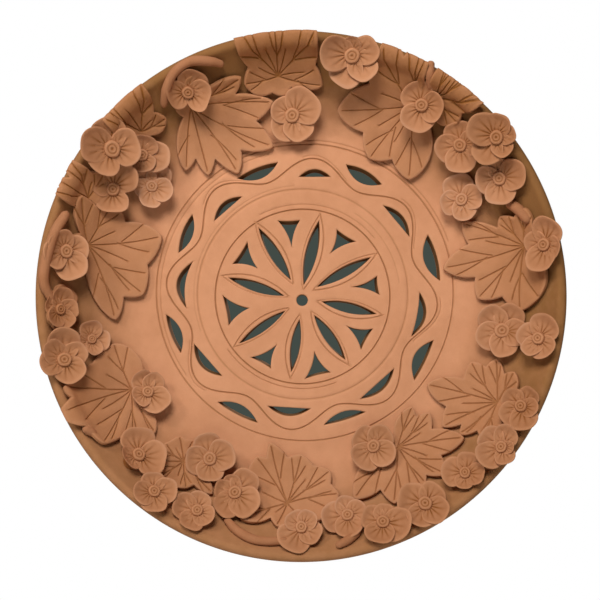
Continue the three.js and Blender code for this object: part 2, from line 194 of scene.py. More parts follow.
def sheet(outline, holes, lines, spacing, edge_rows):
    """Triangulated plan of a sheet with holes, fine along its edges and its incised lines. Lines are
    (points, half width, closed). Returns points, triangles and each loop's point numbers."""
    loops = [outline, *holes]
    loose = sheet_points(outline, holes, lines, spacing, edge_rows)
    given = np.concatenate([*loops, loose])
    bounds = np.cumsum([0] + [len(loop) for loop in loops])
    loop_numbers = [np.arange(start, end) for start, end in zip(bounds[:-1], bounds[1:])]
    edges = [pair for loop in loop_numbers for pair in zip(loop.tolist(), np.roll(loop, -1).tolist())]
    found = delaunay_2d_cdt([Vector(point) for point in given.tolist()], edges, [], 0, 1e-5)
    points = np.array([point[:] for point in found[0]])
    triangles = np.array([face for face in found[2] if len(face) == 3])
    triangles = triangles[in_sheet(points[triangles].mean(1), outline, holes)]
    new_number = np.zeros(len(given), int)
    merged = [old for olds in found[3] for old in olds]
    new_number[merged] = np.repeat(np.arange(len(points)), [len(olds) for olds in found[3]])
    return points, triangles, [new_number[loop] for loop in loop_numbers]


def strip(first, second):
    """Quads, as numbers of points, between two closed rows of as many points."""
    return np.stack([first, np.roll(first, -1), np.roll(second, -1), second], -1)


def clay_piece(name, points, faces, painted_light_and_tone, sharp=38):
    """A closed mesh from points in mm and faces by point number, with a value for each point painted into
    its colour: painted shade below 0, in grooves, crevices and recesses, a painted highlight above 0,
    along edges, and on some pieces a tone of their own. Edges that turn by more than the sharp angle
    stay crisp."""
    mesh = bpy.data.meshes.new(name)
    place = np.asarray(points) * mm + np.array([0, 0, axis_height])
    mesh.from_pydata(place, [], [f for group in faces for f in np.asarray(group).tolist()])
    attribute = mesh.attributes.new("painted_light_and_tone", "FLOAT", "POINT")
    attribute.data.foreach_set("value", np.asarray(painted_light_and_tone, np.float32))
    shaped = bmesh.new()
    shaped.from_mesh(mesh)
    bmesh.ops.recalc_face_normals(shaped, faces=shaped.faces)
    shaped.to_mesh(mesh)
    shaped.free()
    mesh.shade_smooth()
    mesh.set_sharp_from_angle(angle=np.radians(sharp))
    piece = bpy.data.objects.new(name, mesh)
    bpy.context.scene.collection.objects.link(piece)
    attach(piece, "root")
    return piece


def groove(gap, half_width, depth):
    """Depth of an incised line: deepest on the line, rising as a rounded V to its half width."""
    return depth * np.clip(1 - gap / half_width, 0, 1) ** 0.8


class Shade:
    """A value, colour or shader that varies over a surface, as the socket of a node. Arithmetic on it
    adds Math nodes to the same tree."""

    def __init__(self, tree, socket):
        self.tree, self.socket = tree, socket

    @classmethod
    def node(cls, tree, kind, settings, inputs, output):
        """Adds a node of a kind: its settings first, then a value or a link for each named input."""
        added = tree.nodes.new("ShaderNode" + kind)
        for name, setting in settings.items():
            setattr(added, name, setting)
        for name, value in inputs.items():
            if isinstance(value, Shade):
                tree.links.new(value.socket, added.inputs[name])
            else:
                added.inputs[name].default_value = value
        return cls(tree, added.outputs[output])

    def maths(self, operation, first, second, clamp=False):
        settings = {"operation": operation, "use_clamp": clamp}
        return Shade.node(self.tree, "Math", settings, {0: first, 1: second}, "Value")

    def __add__(self, other):
        return self.maths("ADD", self, other)

    def __radd__(self, other):
        return self.maths("ADD", other, self)

    def __sub__(self, other):
        return self.maths("SUBTRACT", self, other)

    def __rsub__(self, other):
        return self.maths("SUBTRACT", other, self)

    def __mul__(self, other):
        return self.maths("MULTIPLY", self, other)

    def __rmul__(self, other):
        return self.maths("MULTIPLY", other, self)

    def __gt__(self, other):
        return self.maths("GREATER_THAN", self, other)

    def between_0_and_1(self):
        return self.maths("ADD", self, 0, clamp=True)


def fired_clay(name, body, warm, dark, pale, grain):
    """Unglazed terracotta: its body colour mottled with a warmer one. The painted value below 0 takes it to
    the dark colour of painted shade and, past -1, on to a deeper painted shade; above 0 it takes it to
    the pale colour of a painted highlight."""
    material = bpy.data.materials.new(name)
    material.use_nodes = True
    tree = material.node_tree
    place = Shade.node(tree, "TexCoord", {}, {}, "Object")
    painted_light_and_tone_shade = Shade.node(tree, "Attribute", {"attribute_name": "painted_light_and_tone"}, {}, "Fac")

    def specks(scale, detail, roughness):
        inputs = {"Vector": place, "Scale": scale, "Detail": detail, "Roughness": roughness}
        return Shade.node(tree, "TexNoise", {}, inputs, "Fac")

    def tinted(colour, tint, amount):
        """A Mix node's inputs 6 and 7 and its output 2 are the ones for colours."""
        inputs = {"Factor": amount.between_0_and_1(), 6: colour, 7: (*tint, 1)}
        return Shade.node(tree, "Mix", {"data_type": "RGBA"}, inputs, 2)

    patches, spots, fine = specks(16, 3, 0.55), specks(130, 4, 0.6), specks(1500, 3, 0.6)
    painted_deep_shade = [0.25 * part for part in dark]
    colour = tinted((*body, 1), warm, 2.2 * patches + 0.9 * spots + 0.35 * fine - 1.3)
    # Painted shade where the painted value is below 0, deeper painted shade past -1, and a painted
    # highlight above 0.
    colour = tinted(colour, dark, -1 * painted_light_and_tone_shade * (0.75 + 0.4 * spots))
    colour = tinted(colour, painted_deep_shade, -0.9 * painted_light_and_tone_shade - 0.9)
    colour = tinted(colour, pale, painted_light_and_tone_shade * (0.35 + 0.75 * spots))
    height = 0.5 * fine + 0.8 * spots + 0.6 * specks(420, 2, 0.5)
    pitted = {"Strength": grain, "Distance": 0.0006, "Height": height}
    relief = Shade.node(tree, "Bump", {}, pitted, "Normal")
    surface = tree.nodes["Principled BSDF"]
    surface.inputs["Specular IOR Level"].default_value = 0.28
    tree.links.new(colour.socket, surface.inputs["Base Color"])
    tree.links.new((0.78 + 0.16 * spots).socket, surface.inputs["Roughness"])
    tree.links.new(relief.socket, surface.inputs["Normal"])
    return material


# The cuts, as corners in (heading, distance) and how far each side bows out: the eight petals, the
# three-sided cuts between them with one set of bows, and the ring of lenses in two rows.
petal_cuts = [
    (((42, 15.5), (32, 64)), (4, 4)),
    (((84, 12), (78, 64)), (4.7, 4.7)),
    (((119, 18), (121, 66.5)), (4.3, 4.3)),
    (((166, 14.5), (163, 60.5)), (4, 4)),
    (((212, 15.5), (214.5, 60)), (3.5, 3.5)),
    (((262, 15), (261.5, 57)), (3.8, 3.8)),
    (((309, 15), (306, 58)), (4.2, 4.2)),
    (((356, 15.5), (349.5, 59.5)), (4.2, 4.2)),
]
horn_cuts = [
    ((15, 40), (4, 61), (18, 62)),
    ((59, 42.5), (47.5, 62.5), (64, 62)),
    ((101, 42.5), (91.5, 63), (107, 65.5)),
    ((144.5, 43), (133, 63), (152.5, 61.5)),
    ((188.5, 42), (176.5, 62.5), (199, 61)),
    ((240.5, 40), (228, 60.5), (245.5, 59)),
    ((283.5, 41.5), (272, 62), (291.5, 61)),
    ((330, 40.5), (320, 60.5), (338, 60)),
]
ring_cuts = [
    (((27.5, 111.5), (8, 109.5)), (8.3, 2.5)),
    (((72, 112), (55.5, 110.5)), (7.1, 3.4)),
    (((118, 108.5), (100, 110)), (7.1, 2.1)),
    (((159, 104), (142, 109.5)), (5.9, 2.7)),
    (((203.5, 104), (186, 107.5)), (6.5, 2)),
    (((250, 102.5), (230.5, 104)), (6.6, 1.6)),
    (((299.5, 101), (280, 99.5)), (5.6, 1.2)),
    (((343, 108), (324.5, 108.5)), (8.6, 1.2)),
    (((49.5, 98), (30.5, 98)), (0, 6.4)),
    (((91.5, 97), (77, 99.5)), (0, 6.1)),
    (((138, 93), (120, 94)), (0, 6.3)),
    (((184, 91), (160.5, 91)), (-3.7, 10.4)),
    (((223.5, 86.5), (202, 91.5)), (0, 7.5)),
    (((274.5, 85.5), (252, 87.5)), (0, 6.8)),
    (((323.5, 90), (300.5, 90)), (0, 6.7)),
    (((4, 92.5), (341.5, 90.5)), (-1.4, 8.4)),
]
horn_bows = (-1.6, -0.6, -1.6)
centre_hole_radius = 4.5
holes = [ring(centre_hole_radius)]
holes += [bowed(corners, bows) for corners, bows in petal_cuts + ring_cuts]
holes += [bowed(corners, horn_bows) for corners in horn_cuts]

# The incised lines: (points, half width, depth, closed). The wave swings eight times round, between
# the two rings of cuts, and the tool ran over it again in places.
turn = np.linspace(0, 360, 640, endpoint=False)
swing = np.cos(np.radians(8 * (turn - 39.7)))
wave_middle = np.array([0, 4.7])
wave = wave_middle + at(turn, 99 + 7.8 * swing)
second_pass = wave_middle + at(turn, 101.2 + 8.2 * swing)
passed_twice = ((40, 78), (122, 160), (205, 245), (360, 400), (600, 638))
deepest = 0.95
incised = [
    (ring(68.6, (0.5, 2.7)), 0.8, deepest, True),
    (ring(72.3, (0.8, 3.0), start=40, end=118), 0.7, 0.4, False),
    (ring(71.6, (0.5, 2.0), start=215, end=292), 0.7, 0.55, False),
    (ring(76.5, (0.5, 3.6), start=8, end=58), 0.8, 0.3, False),
    (ring(82.6, (0.5, 4.6)), 1.1, 0.5, True),
    (ring(85.2, (0.5, 4.8), start=95, end=200), 0.9, 0.25, False),
    (ring(116.6, (2.3, 6)), 0.9, 0.75, True),
    (ring(112.6, (1.5, 5.6), start=105, end=215), 0.8, 0.4, False),
    (ring(119.6, (2.3, 6), start=20, end=115), 0.8, 0.45, False),
    (wave, 0.85, deepest, True),
]
incised += [(second_pass[start:end], 0.6, 0.4, False) for start, end in passed_twice]
for (inner, outer), (bow, _) in petal_cuts:
    round_petal = bowed(((inner[0], inner[1] - 4), (outer[0], outer[1] + 5)), (bow + 3.4, bow + 1.6))
    half = len(round_petal) // 2
    incised += [(round_petal[1:half + 1], 0.8, 0.7, False), (round_petal[half + 1:], 0.8, 0.6, False)]

# The front of the floor and the foot of the wall, with the lines cut in and the cuts' edges eased.
front_reach, back_reach = 128.0, 122.0
front_edge = ring(front_reach, step=2 * np.pi * front_reach / 360)
plan, front_faces, front_loops = sheet(
    front_edge, holes, [(line, width, closed) for line, width, _, closed in incised], 1.8, (0.6, 1.3)
)
hole_gap = np.min([nearest(plan, hole) for hole in holes], axis=0)
scored = np.max([groove(nearest(plan, line), width, depth) for line, width, depth, _ in incised], axis=0)
eased = 0.5 * np.clip(1 - hole_gap / 0.9, 0, 1) ** 2
uneven = 0.22 * np.sin(plan[:, 0] / 13 + 1.3) * np.sin(plan[:, 1] / 17)
uneven = (uneven + 0.12 * np.sin(plan @ (0.21, -0.16))) * np.clip((126 - np.hypot(*plan.T)) / 20, 0, 1)
front_points = on_dish(plan, -scored - eased + uneven)
# Painted shade in the incised lines and at the very edge of each cut, and a painted highlight along a band
# about 1 mm back from each cut's edge.
painted_edge_highlight = 0.2 * np.clip(1 - np.abs(hole_gap - 1.1) / 0.8, 0, 1)
front_painted_light = -0.75 * scored / deepest + painted_edge_highlight - 0.3 * (hole_gap < 0.1)

# The back of the floor, where the cuts come through a little narrower, and its turned foot ring.
back_holes = [holes[0]]
for hole in holes[1:]:
    middle = hole.mean(0)
    back_holes.append(middle * (1 - 0.9 / np.hypot(*middle)) + (hole - middle) * 0.86)
foot_rows = [(ring(radius, step=2.6), 0.01, True) for radius in (68, 68.7, 70.6, 81.4, 83.3, 84)]
back_edge = ring(back_reach, step=2 * np.pi * back_reach / 360)
back_plan, back_faces, back_loops = sheet(back_edge, back_holes, foot_rows, 5, ())
foot_radii = (68, 69.4, 70.6, 81.4, 82.6, 84, 116, back_reach)
foot_depths = (floor_back, 3, 0, 0, 3, floor_back, floor_back, floor_back + 0.7)
back_depth = np.interp(np.hypot(*back_plan.T), foot_radii, foot_depths)
back_points = np.stack([back_plan[:, 0], -back_depth, back_plan[:, 1]], -1)

# The wall, turned in 360 steps: up the bowl's arc, round the lip and back down the outer arc. The
# thrower's fingers left faint rings in it.
rise = np.linspace(np.arcsin((front_reach - floor_radius) / bowl_radius), wall_sweep, 38)[1:]
lip = np.linspace(wall_sweep, wall_sweep - np.pi, 14)[1:]
fall = np.linspace(wall_sweep, 0.08, 24)[1:]
outer_radius = bowl_radius + 2 * lip_radius
profile = np.concatenate([
    np.stack([np.sin(rise), 1 - np.cos(rise)], -1) * bowl_radius + (floor_radius, floor_front),
    np.stack([-np.sin(lip), np.cos(lip)], -1) * lip_radius + (lip_centre, lip_depth),
    np.stack([np.sin(fall), -np.cos(fall)], -1) * outer_radius + (floor_radius, floor_front + bowl_radius),
])
turns = np.radians(np.arange(360))
finger = 0.25 * np.sin(profile[:, 0] / 2.6) * np.clip((196 - profile[:, 0]) / 30, 0, 1)
depths = profile[:, 1, None] + finger[:, None] * (1 + 0.6 * np.sin(3 * turns + profile[:, :1] / 9))
wall = np.stack([profile[:, :1] * np.cos(turns), -depths, profile[:, :1] * np.sin(turns)], -1)

# The body is numbered front, back, wall, then the rings of points in the thickness of each cut.
start_back = len(front_points)
start_wall = start_back + len(back_points)
start_cuts = start_wall + wall.shape[0] * 360
wall_numbers = np.arange(start_wall, start_cuts).reshape(-1, 360)
dish_faces = [front_faces, start_back + back_faces]
dish_faces += [strip(front_loops[0], wall_numbers[0]), strip(wall_numbers[-1], start_back + back_loops[0])]
dish_faces += [strip(row, next_row) for row, next_row in zip(wall_numbers[:-1], wall_numbers[1:])]
cut_rings = []
for front_loop, back_loop in zip(front_loops[1:], back_loops[1:]):
    numbers = [front_loop]
    for share in (0.2, 0.9):
        cut_rings.append((1 - share) * front_points[front_loop] + share * back_points[back_loop])
        numbers.append(start_cuts + np.arange(len(front_loop)))
        start_cuts += len(front_loop)
    numbers.append(start_back + back_loop)
    dish_faces += [strip(row, next_row) for row, next_row in zip(numbers[:-1], numbers[1:])]
cut_rings = np.concatenate(cut_rings)

# Painted shade: the wall darkens the higher up it is, most of all at the upper right, and darkest
# inside the cuts. The back is a little darker all over.
painted_shade_by_heading = 1 + 0.25 * np.cos(turns - np.radians(65))
wall_painted_shade = (-0.92 * np.clip((profile[:, :1] - 128) / 45, 0, 1) * painted_shade_by_heading).ravel()
back_darker, cut_painted_shade = np.full(len(back_points), -0.25), np.full(len(cut_rings), -1.45)
dish = clay_piece(
    "thrown_dish",
    np.concatenate([front_points, back_points, wall.reshape(-1, 3), cut_rings]),
    dish_faces,
    np.concatenate([front_painted_light, back_darker, wall_painted_shade, cut_painted_shade]),
)
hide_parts("dish")
dish.data.materials.append(fired_clay(
    "dish clay", (0.67, 0.305, 0.153), (0.58, 0.255, 0.122), (0.28, 0.12, 0.034), (0.74, 0.42, 0.25), 0.35
))

# ---------------------------------------------------------------------------------------------
# The stems. Coils of the same clay rolled by hand to 7 to 9 mm, laid along the wall with slip so
# that the leaves and flowers seem to grow from them. Their ends are pinched round.

# Each stem: its points along the wall as (heading, distance), and its thickness.
stems = [
    ([(126, 181), (122.5, 190), (119, 194), (115, 194.5), (111, 191.5), (108.5, 187.5)], 7),
    ([(160, 190), (166, 193), (172, 194), (177, 194), (181, 190)], 8),
    ([(25, 176), (22, 181), (18, 185)], 9),
    ([(211, 193), (214, 189)], 8),
    ([(251, 180), (255, 186), (260, 189), (267, 187)], 7),
    ([(278, 192), (281, 189), (284, 185)], 7),
    ([(61, 199), (60, 194), (58, 187)], 7),
]
# Painted shade: the same clay as the dish, given a darker body colour.
stem_clay = fired_clay(
    "stem clay", (0.54, 0.24, 0.12), (0.46, 0.195, 0.09), (0.24, 0.075, 0.012), (0.70, 0.40, 0.25), 0.4
)


def smooth_line(knots, steps):
    """A curve through knots, its slope at each knot set by that knot's neighbours."""
    slope = np.gradient(knots, axis=0)
    t = np.linspace(0, len(knots) - 1, steps)
    i = np.minimum(t.astype(int), len(knots) - 2)
    s = (t - i)[:, None]
    return (
        knots[i] * (1 + 2 * s) * (1 - s) ** 2 + slope[i] * s * (1 - s) ** 2
        + knots[i + 1] * s**2 * (3 - 2 * s) + slope[i + 1] * s**2 * (s - 1)
    )


def closed_rows(rows, first, last):
    """Points and faces of a closed body: rows of equal length between two single points."""
    count, length = rows.shape[:2]
    numbers = np.arange(count * length).reshape(count, length)
    points = np.concatenate([rows.reshape(-1, 3), [first, last]])
    sides = [strip(a, b) for a, b in zip(numbers[:-1], numbers[1:])]
    ends = [
        np.stack([row, np.roll(row, -1), np.full(length, count * length + i)], -1)
        for i, row in enumerate((numbers[0], numbers[-1]))
    ]
    return points, np.concatenate(sides), np.concatenate(ends)


def rolled(middle, thickness, number):
    """Rings of points round a coil's middle line. Its radius swells and thins a little by two sines of
    the way along it, narrows toward both ends and closes there as a half ball."""
    ahead = np.gradient(middle, axis=0)
    ahead /= np.linalg.norm(ahead, axis=1)[:, None]
    outward = np.array([0, -1, 0]) + ahead * ahead[:, 1:2]
    outward /= np.linalg.norm(outward, axis=1)[:, None]
    sideways = np.cross(ahead, outward)
    length = np.linalg.norm(np.diff(middle, axis=0), axis=1).sum()
    way = np.linspace(0, 1, len(middle)) * length
    size = thickness / 2 * (1 + 0.04 * np.sin(way / 6 + number) + 0.02 * np.sin(way / 3.5))
    from_end = np.minimum(way, length - way) / (0.4 * thickness)
    size *= 0.75 + 0.25 * np.clip(from_end / 4, 0, 1)
    size *= np.sqrt(1 - (1 - np.clip(from_end, 0.04, 1)) ** 2)
    angle = np.linspace(0, 2 * np.pi, 28, endpoint=False)[:, None]
    across = outward[:, None] * np.cos(angle) + sideways[:, None] * np.sin(angle)
    return middle[:, None] + size[:, None, None] * across


sunk_in_slip = 0.3
stem_lines = []
for number, (along, thickness) in enumerate(stems):
    seated = np.array([on_dish(at(*knot), thickness / 2 - sunk_in_slip) for knot in along])
    middle = smooth_line(seated, 14 * len(along))
    stem_lines.append(middle[:, ::2])
    points, sides, ends = closed_rows(rolled(middle, thickness, number), middle[0], middle[-1])
    # Painted shade: each stem is darkened evenly all over.
    stem = clay_piece(f"rolled_stem_{number + 1:02}", points, [sides, ends], np.full(len(points), -0.4))
    stem.data.materials.append(stem_clay)
    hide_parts(f"stem_{number + 1:02}")

# ---------------------------------------------------------------------------------------------
# The leaves. Cut with a knife from a rolled slab, their veins drawn with the pointed tool, then
# pressed on to the wall at the middle so that their edges stand a little clear of it.

# Each leaf, in the order they were laid: its middle as (heading, distance), how far out its notches
# are as a share of the shorter lobe beside them, and its lobes as (heading, reach).
leaves = [
    ((180, 184), 0.88, [(265, 27), (350, 10), (95, 10), (175, 8)]),
    ((155, 181), 0.9, [(60, 22), (105, 25), (150, 17), (180, 18), (300, 8)]),
    ((134, 178), 0.8, [(32, 22), (80, 30), (157, 27), (300, 8)]),
    ((56, 184), 0.92, [(20, 25), (65, 21), (200, 8), (315, 26), (345, 35)]),
    ((96, 173), 0.86, [(350, 35), (40, 39), (92, 34), (142, 41), (192, 27), (300, 14)]),
    ((120, 172), 0.8, [(5, 64), (29, 45), (60, 25), (200, 12), (264, 48), (284, 53), (306, 62), (335, 70)]),
    ((60, 172), 0.82, [(20, 12), (88, 38), (124, 46), (181, 58), (229, 51), (268, 55)]),
    ((166, 171), 0.84, [(8, 57), (62, 40), (95, 37), (150, 12), (240, 24), (289, 61), (318, 56)]),
    ((13, 177), 0.82, [(30, 10), (92, 29), (126, 30), (156, 51), (194, 64), (229, 52), (267, 50)]),
    ((234, 157), 0.96, [(0, 12), (67, 18), (101, 20), (152, 22), (212, 21), (277, 21), (312, 34)]),
    ((208, 151), 0.92, [(112, 39), (178, 47), (200, 47), (246, 46), (272, 42), (298, 39), (350, 14)]),
    ((266, 160), 0.9, [(10, 41), (37, 42), (74, 40), (106, 50), (124, 44), (197, 38), (245, 19)]),
    ((303, 138), 0.82, [(8, 52), (47, 37), (71, 34), (150, 11), (230, 53), (266, 44), (300, 38),
                        (330, 42)]),
    ((332, 172), 0.84, [(60, 27), (89, 34), (121, 37), (165, 56), (205, 46), (222, 38), (250, 32),
                        (335, 11)]),
]
# Painted shade: the same clay as the dish, given a darker body colour.
leaf_clay = fired_clay(
    "leaf clay", (0.53, 0.235, 0.108), (0.45, 0.19, 0.08), (0.25, 0.085, 0.01), (0.70, 0.40, 0.25), 0.4
)


def lobed(lobes, notch):
    """Outline round a point: from each lobe's tip it falls to the notch halfway to the next lobe, by
    the power 1.3 of the angle, and rises again to that lobe's tip."""
    headings, reaches = np.array(sorted(lobes), float).T
    turn = np.linspace(headings[0], headings[0] + 360, 2400, endpoint=False)
    lobe = np.searchsorted(headings, turn, "right") - 1
    after = (lobe + 1) % len(headings)
    gap = (headings[after] - headings[lobe]) % 360
    part = (turn - headings[lobe]) / gap
    tip = np.where(part < 0.5, reaches[lobe], reaches[after])
    low = notch * np.minimum(reaches[lobe], reaches[after])
    return at(turn, tip - (tip - low) * (1 - np.abs(2 * part - 1)) ** 1.3)


def trimmed(outline, most):
    """An outline cut back to a distance from the dish's axis, where the leaf was trimmed at the lip."""
    return outline * np.minimum(1, most / np.hypot(*outline.T))[:, None]


def spaced(outline, step):
    """A closed outline's points set again at an even step along it."""
    closed = np.concatenate([outline, outline[:1]])
    walked = np.concatenate([[0], np.cumsum(np.hypot(*np.diff(closed, axis=0).T))])
    marks = np.linspace(0, walked[-1], int(walked[-1] / step), endpoint=False)
    return np.stack([np.interp(marks, walked, closed[:, i]) for i in (0, 1)], -1)


def vein(start, heading, length, bend):
    """A drawn line from a start, its heading turning by the bend along its length."""
    t = np.linspace(0, 1, max(3, int(length / 0.5)))
    turn = np.radians(heading + bend * t)
    return start + np.cumsum(np.stack([np.cos(turn), np.sin(turn)], -1), 0) * length / len(t)


def leaf_veins(base, lobes, number):
    """A leaf's veins: one up each lobe, a branch to each side of it where there is room, and one more
    between two lobes that stand well apart."""
    ordered = sorted(lobes)
    veins = []
    for i, (heading, reach) in enumerate(ordered):
        before, _ = ordered[i - 1]
        after, reach_after = ordered[(i + 1) % len(ordered)]
        gap_before, gap_after = (heading - before) % 360, (after - heading) % 360
        lean = 13 * np.sin(number + 2.1 * i)
        if reach > 14:
            veins.append(vein(base, heading - lean / 2, 0.93 * reach, lean))
        for side, gap in ((-1, gap_before), (1, gap_after)):
            if reach > 20 and gap > 22:
                start = base + at(heading, (0.4 + 0.04 * side * np.cos(number + i)) * reach)
                spread = side * min(30, 0.62 * gap)
                veins.append(vein(start, heading + spread, 0.44 * reach, lean - 4 * side))
        shorter = min(reach, reach_after)
        if gap_after > 36 and shorter > 18:
            veins.append(vein(base, heading + gap_after / 2, 0.55 * shorter, -lean))
    return veins


def under_leaf(points, base, outline):
    """Height of a leaf's underside over the dish: the square of the way from its middle to its edge,
    where it curls up, and more over the dish's lip."""
    away, edge = points - base, outline - base
    turn, edge_turn = (np.degrees(np.arctan2(line[:, 1], line[:, 0])) % 360 for line in (away, edge))
    sort = np.argsort(edge_turn)
    reach = np.interp(turn, edge_turn[sort], np.hypot(*edge.T)[sort], period=360)
    part = np.clip(np.hypot(*away.T) / reach, 0, 1)
    over_lip = np.maximum(0, np.hypot(*points.T) - wall_end + lip_radius)
    return 0.7 + 1.6 * part**2 + 0.35 * over_lip


slab, vein_width, vein_depth = 3.35, 0.75, 0.75
trimmed_at = 196.5
leaf_outlines = [
    spaced(trimmed(at(*spot) + lobed(lobes, notch), trimmed_at), 1.0) for spot, notch, lobes in leaves
]
for number, (spot, _, lobes) in enumerate(leaves):
    outline, base = leaf_outlines[number], at(*spot)
    veins = leaf_veins(base, lobes, number)
    plan, top_faces, top_loops = sheet(
        outline, [], [(line, vein_width, False) for line in veins], 1.5, (0.5, 1.2)
    )
    under_plan, under_faces, under_loops = sheet(outline, [], [], 4, ())
    edge_gap = nearest(plan, outline)
    vein_gap = np.min([nearest(plan, line) for line in veins], axis=0)
    drawn = groove(vein_gap, vein_width, vein_depth)

    # The slab sinks beside the veins, thins to its cut edge and under the leaves pressed on later.
    body = slab - 0.45 * (1 - np.clip(vein_gap / 4, 0, 1)) - 1.1 * (1 - np.clip(edge_gap / 1.4, 0, 1)) ** 2
    body += 0.25 * np.sin(plan[:, 0] / 5.3 + number) * np.sin(plan[:, 1] / 4.7)
    for later in leaf_outlines[number + 1:]:
        pressed = np.clip(nearest(plan, later) / 1.2, 0, 1) * inside(plan, later)
        body = np.minimum(body, 3.4 - 2.9 * pressed)
    top = on_dish(plan, under_leaf(plan, base, outline) + body - drawn)
    under = on_dish(under_plan, under_leaf(under_plan, base, outline))
    sides = strip(top_loops[0], len(plan) + under_loops[0])
    # Painted shade: the leaf darkens toward the lip, most at the top of the dish, and in its veins and
    # underneath; a painted highlight runs just inside its cut edge.
    from_axis = np.hypot(*plan.T)
    painted_shade_toward_lip = 0.55 * np.clip((from_axis - 148) / 40, 0, 1) * (0.6 + 0.4 * plan[:, 1] / from_axis)
    painted_edge_highlight = 0.25 * np.exp(-((edge_gap - 0.6) / 0.6) ** 2)
    painted_light_and_tone = np.concatenate([painted_edge_highlight - 0.6 * drawn / vein_depth - painted_shade_toward_lip, np.full(len(under_plan), -0.3)])
    leaf = clay_piece(
        f"cut_leaf_{number + 1:02}", np.concatenate([top, under]),
        [top_faces, len(plan) + under_faces, sides], painted_light_and_tone,
    )
    leaf.data.materials.append(leaf_clay)
    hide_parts(f"leaf_{number + 1:02}")

# ---------------------------------------------------------------------------------------------
# The flowers. Each petal is a ball of clay pinched to a thin cupped disc, ribbed with the tool from
# the throat. They are pressed together on a neck of clay, with a button stamped into the middle.

# Each flower: its middle as (heading, distance), its tilt toward the dish's axis in degrees, its
# height over the dish, and its petals as (heading, reach), the lowest first.
flowers = [
    ((138, 165), 20, 6, [(352, 21), (75, 15), (280, 13)]),
    ((150, 167), 10, 6, [(265, 18), (152, 15), (65, 22)]),
    ((143, 146), 10, 5, [(50, 19), (122, 15), (194, 14), (266, 17), (338, 17)]),
    ((119, 178), 28, 8, [(192, 16), (58, 18), (345, 17)]),
    ((142, 181), 22, 11, [(100, 24), (5, 21), (228, 21), (165, 25)]),
    ((169, 181), 24, 9, [(10, 17), (285, 22), (200, 18), (115, 16)]),
    ((93, 143), 10, 6, [(240, 21), (300, 21), (150, 17), (40, 23)]),
    ((78, 185), 20, 10, [(250, 24), (318, 22), (20, 21), (95, 14), (172, 24)]),
    ((58, 173), 20, 9, [(118, 18), (255, 20), (348, 17)]),
    ((44, 169), 20, 6, [(100, 18), (198, 19), (278, 21), (10, 16)]),
    ((31, 176), 20, 7, [(95, 15), (188, 18), (278, 20), (15, 21)]),
    ((39, 188), 20, 12, [(235, 22), (305, 16), (15, 15), (80, 18), (148, 23)]),
    ((32, 146), 8, 6, [(105, 20), (200, 17), (285, 17), (10, 16)]),
    ((12, 187), 38, 9, [(172, 16), (75, 21), (345, 15), (262, 20)]),
    ((351, 157), 12, 5, [(60, 22), (132, 22), (204, 21), (276, 21), (348, 20)]),
    ((350, 182), 33, 11, [(160, 17), (55, 19), (300, 17), (230, 15)]),
    ((333.5, 185), 24, 9, [(50, 16), (140, 16), (215, 18), (282, 20), (345, 14)]),
    ((313, 182), 24, 8, [(170, 18), (65, 16), (262, 13), (345, 16)]),
    ((323, 188), 24, 10, [(140, 19), (65, 17), (215, 20), (290, 15), (350, 10)]),
    ((296, 127), 4, 6, [(140, 18), (50, 18), (235, 20), (322, 19)]),
    ((282, 170), 20, 7, [(190, 20), (100, 15), (20, 15), (275, 18)]),
    ((290, 181), 22, 10, [(155, 17), (82, 14), (345, 22), (255, 18)]),
    ((301, 182), 20, 10, [(165, 21), (48, 17), (252, 19), (322, 20)]),
    ((270, 175), 22, 9, [(237, 21), (330, 17), (130, 14), (50, 14)]),
    ((183, 183), 42, 8, [(150, 13), (75, 17), (5, 15), (295, 15), (240, 15)]),
    ((191, 165), 30, 6, [(0, 15), (95, 14), (215, 12), (290, 13)]),
    ((195, 184), 20, 12, [(92, 24), (28, 18), (300, 19), (195, 19), (145, 18)]),
    ((211, 140), 20, 7, [(115, 17), (55, 16), (318, 19), (220, 13)]),
    ((233, 184), 24, 9, [(100, 15), (5, 17), (272, 17), (195, 16)]),
    ((224, 173), 38, 9, [(95, 21), (350, 21), (215, 14)]),
    ((240, 143), 8, 6, [(100, 20), (190, 19), (275, 18), (15, 20)]),
    ((244, 180), 22, 8, [(80, 15), (165, 19), (245, 17), (325, 14)]),
    ((251, 158), 12, 8, [(45, 21), (110, 14), (172, 16), (240, 21), (315, 22)]),
]
# Painted shade: the same clay as the dish, given a darker body colour.
flower_clay = fired_clay(
    "flower clay", (0.54, 0.245, 0.118), (0.45, 0.195, 0.086), (0.24, 0.075, 0.012), (0.76, 0.46, 0.31), 0.4
)
# A petal's rows of points go out over its top, round its rim and back underneath. Each has its share
# of the way from the throat to the rim, and its level, from 1 on top to -1 underneath.
rim_turn = np.linspace(0, np.pi, 7)
top_shares, under_shares = np.linspace(0.05, 0.86, 13), np.array([0.75, 0.5, 0.2])
petal_shares = np.concatenate([top_shares, 0.89 + 0.11 * np.sin(rim_turn), under_shares])[:, None]
petal_levels = np.concatenate([np.ones(13), np.cos(rim_turn), -np.ones(3)])[:, None]


